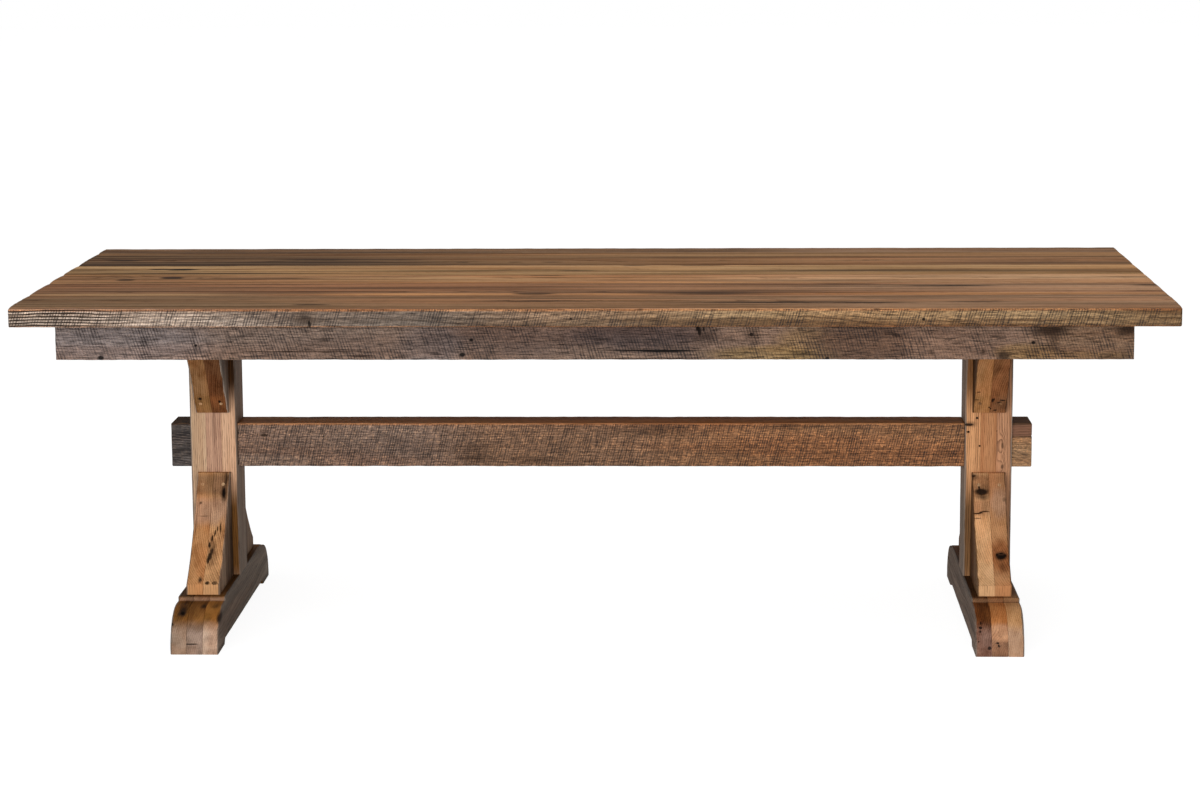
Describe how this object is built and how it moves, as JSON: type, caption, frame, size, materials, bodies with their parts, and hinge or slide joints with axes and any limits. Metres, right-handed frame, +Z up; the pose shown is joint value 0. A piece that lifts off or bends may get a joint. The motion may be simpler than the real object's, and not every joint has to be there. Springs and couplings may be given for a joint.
{
  "type": "trestle dining table",
  "caption": "Long plank-topped dining table with an apron, on scrolled trestles joined by a beam.",
  "frame": {"origin": "on the floor, under the middle of the top", "axes": "+X along the table, +Y across it away from the front long side, +Z up"},
  "size_m": [2.438, 1.067, 0.775],
  "materials": {
    "plank_oak": "reclaimed oak planks, satin clear finish",
    "apron_oak": "rough sawn weathered oak, satin clear finish",
    "beam_oak": "rough sawn weathered oak, satin clear finish",
    "trestle_oak": "reclaimed oak, glued plies with grey weathered sides",
    "corbel_oak": "reclaimed oak with knots and holes, satin clear finish",
    "stub_oak": "dark rough sawn oak",
    "peg_oak": "light oak pegs and dowels",
    "inner_oak": "plain planed oak, unseen from above",
    "fixing_steel": "zinc plated steel"
  },
  "bodies": {
    "root": {"apron_back": "apron_oak", "apron_corner_blocks": "inner_oak", "apron_end_left": "apron_oak", "apron_end_right": "apron_oak", "apron_front": "apron_oak", "apron_glue_blocks": "inner_oak", "corbel_lower_back_a_left": "corbel_oak", "corbel_lower_back_a_right": "corbel_oak", "corbel_lower_back_b_left": "corbel_oak", "corbel_lower_back_b_right": "corbel_oak", "corbel_lower_front_a_left": "corbel_oak", "corbel_lower_front_a_right": "corbel_oak", "corbel_lower_front_b_left": "corbel_oak", "corbel_lower_front_b_right": "corbel_oak", "corbel_pegs": "peg_oak", "corbel_upper_back_a_left": "corbel_oak", "corbel_upper_back_a_right": "corbel_oak", "corbel_upper_back_b_left": "corbel_oak", "corbel_upper_back_b_right": "corbel_oak", "corbel_upper_front_a_left": "corbel_oak", "corbel_upper_front_a_right": "corbel_oak", "corbel_upper_front_b_left": "corbel_oak", "corbel_upper_front_b_right": "corbel_oak", "foot_ply_inner_left": "trestle_oak", "foot_ply_inner_right": "trestle_oak", "foot_ply_middle_left": "trestle_oak", "foot_ply_middle_right": "trestle_oak", "foot_ply_outer_left": "trestle_oak", "foot_ply_outer_right": "trestle_oak", "header_left": "inner_oak", "header_right": "inner_oak", "header_screws": "fixing_steel", "post_ply_inner_left": "trestle_oak", "post_ply_inner_right": "trestle_oak", "post_ply_middle_left": "trestle_oak", "post_ply_middle_right": "trestle_oak", "post_ply_outer_left": "trestle_oak", "post_ply_outer_right": "trestle_oak", "stretcher_beam": "beam_oak", "stretcher_bolts": "fixing_steel", "stretcher_washers": "fixing_steel", "stub_block_left": "stub_oak", "stub_block_lower_right": "stub_oak", "stub_block_upper_right": "stub_oak", "stub_dowels": "peg_oak", "top_plank_1": "plank_oak", "top_plank_2": "plank_oak", "top_plank_3": "plank_oak", "top_plank_4": "plank_oak", "top_plank_5": "plank_oak", "top_plank_6": "plank_oak", "top_tongues": "inner_oak"}
  },
  "joints": []
}
